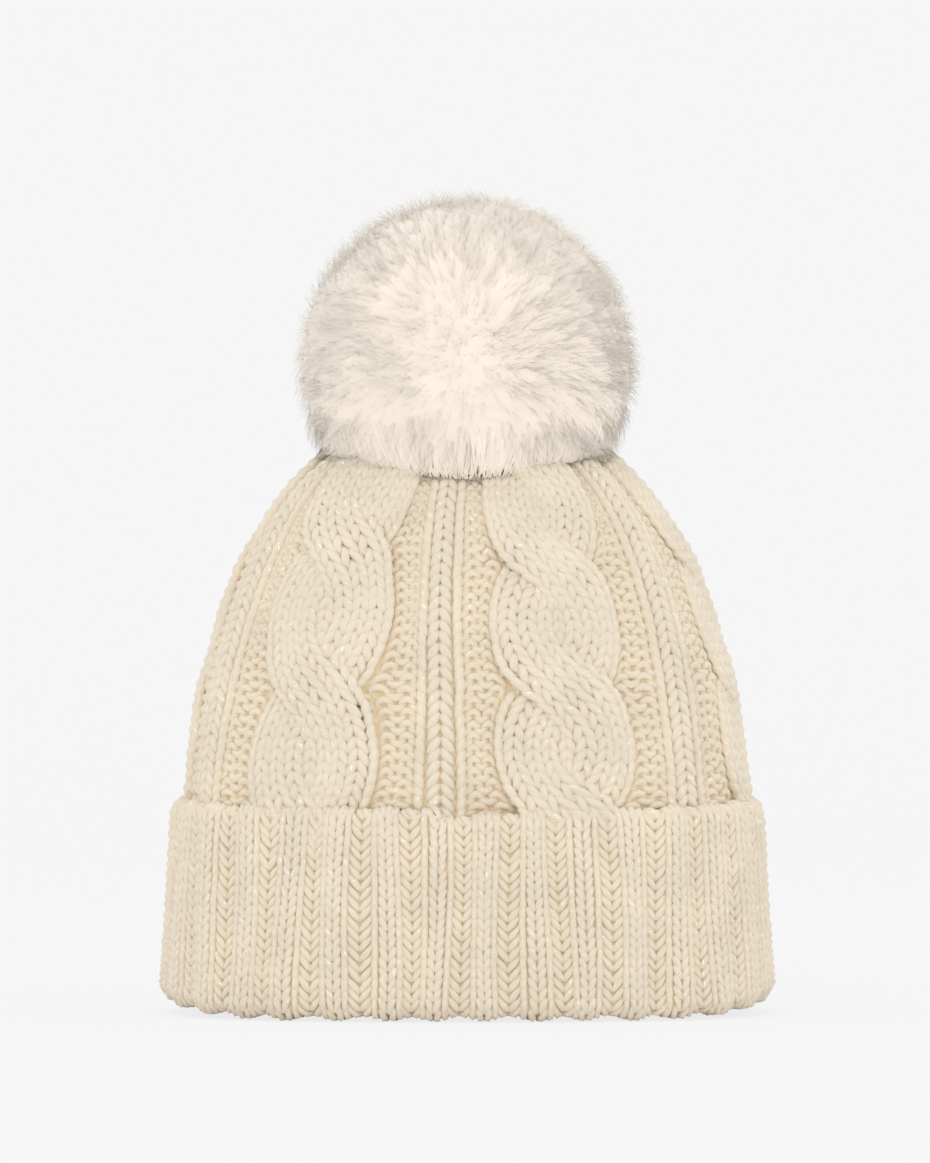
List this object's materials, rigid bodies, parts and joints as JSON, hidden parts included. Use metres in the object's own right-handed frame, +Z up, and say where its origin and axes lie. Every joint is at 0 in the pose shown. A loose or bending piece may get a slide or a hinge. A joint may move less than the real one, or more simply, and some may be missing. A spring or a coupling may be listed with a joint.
{
  "type": "pom pom beanie",
  "caption": "Cable-knit beanie with a ribbed turned-up cuff and a faux-fur pom pom that snaps on, turns, nods and pulls off its press stud.",
  "frame": {"origin": "centre of the fold that the beanie stands on, at the foot of the turned-up cuff", "axes": "+Z up from the head opening to the pom pom; the front of the hat faces -Y; +X along the hat's width"},
  "size_m": [0.2304, 0.163, 0.3065],
  "materials": {
    "cable_knit": "matte",
    "rib_knit": "matte",
    "yarn": "matte",
    "felt": "matte",
    "stud_metal": "satin",
    "spring_metal": "satin",
    "filling": "matte",
    "fur_backing": "matte",
    "fur": "matte"
  },
  "bodies": {
    "hat": {"cable_knit_body": "cable_knit", "inner_rib_band": "rib_knit", "turned_up_cuff": "rib_knit", "joining_seam": "yarn", "crown_gather_yarn": "yarn", "crown_backing_disc": "felt", "snap_cap_inner": "stud_metal", "snap_socket": "stud_metal"},
    "snap_spring": {"snap_spring_ring": "spring_metal"},
    "pom_base": {"snap_stud": "stud_metal", "pom_base_patch": "felt", "snap_cap_pom": "stud_metal"},
    "pom_ball": {"pom_filling": "filling", "pom_backing_fabric": "fur_backing", "pom_gather_thread": "yarn", "pom_fur": "fur"}
  },
  "joints": [
    {"name": "pom_turn", "type": "hinge", "parent": "hat", "child": "snap_spring", "pos_m": [0, 0, 0.2228], "axis": [0, 0, 1], "continuous": true},
    {"name": "pom_pull", "type": "slide", "parent": "snap_spring", "child": "pom_base", "axis": [0, 0, 1], "range_m": [0, 0.05]},
    {"name": "pom_nod", "type": "hinge", "parent": "pom_base", "child": "pom_ball", "pos_m": [0, 0, 0.2288], "axis": [1, 0, 0], "range_deg": [-10, 10], "stiffness_Nm_per_rad": 0.1}
  ]
}
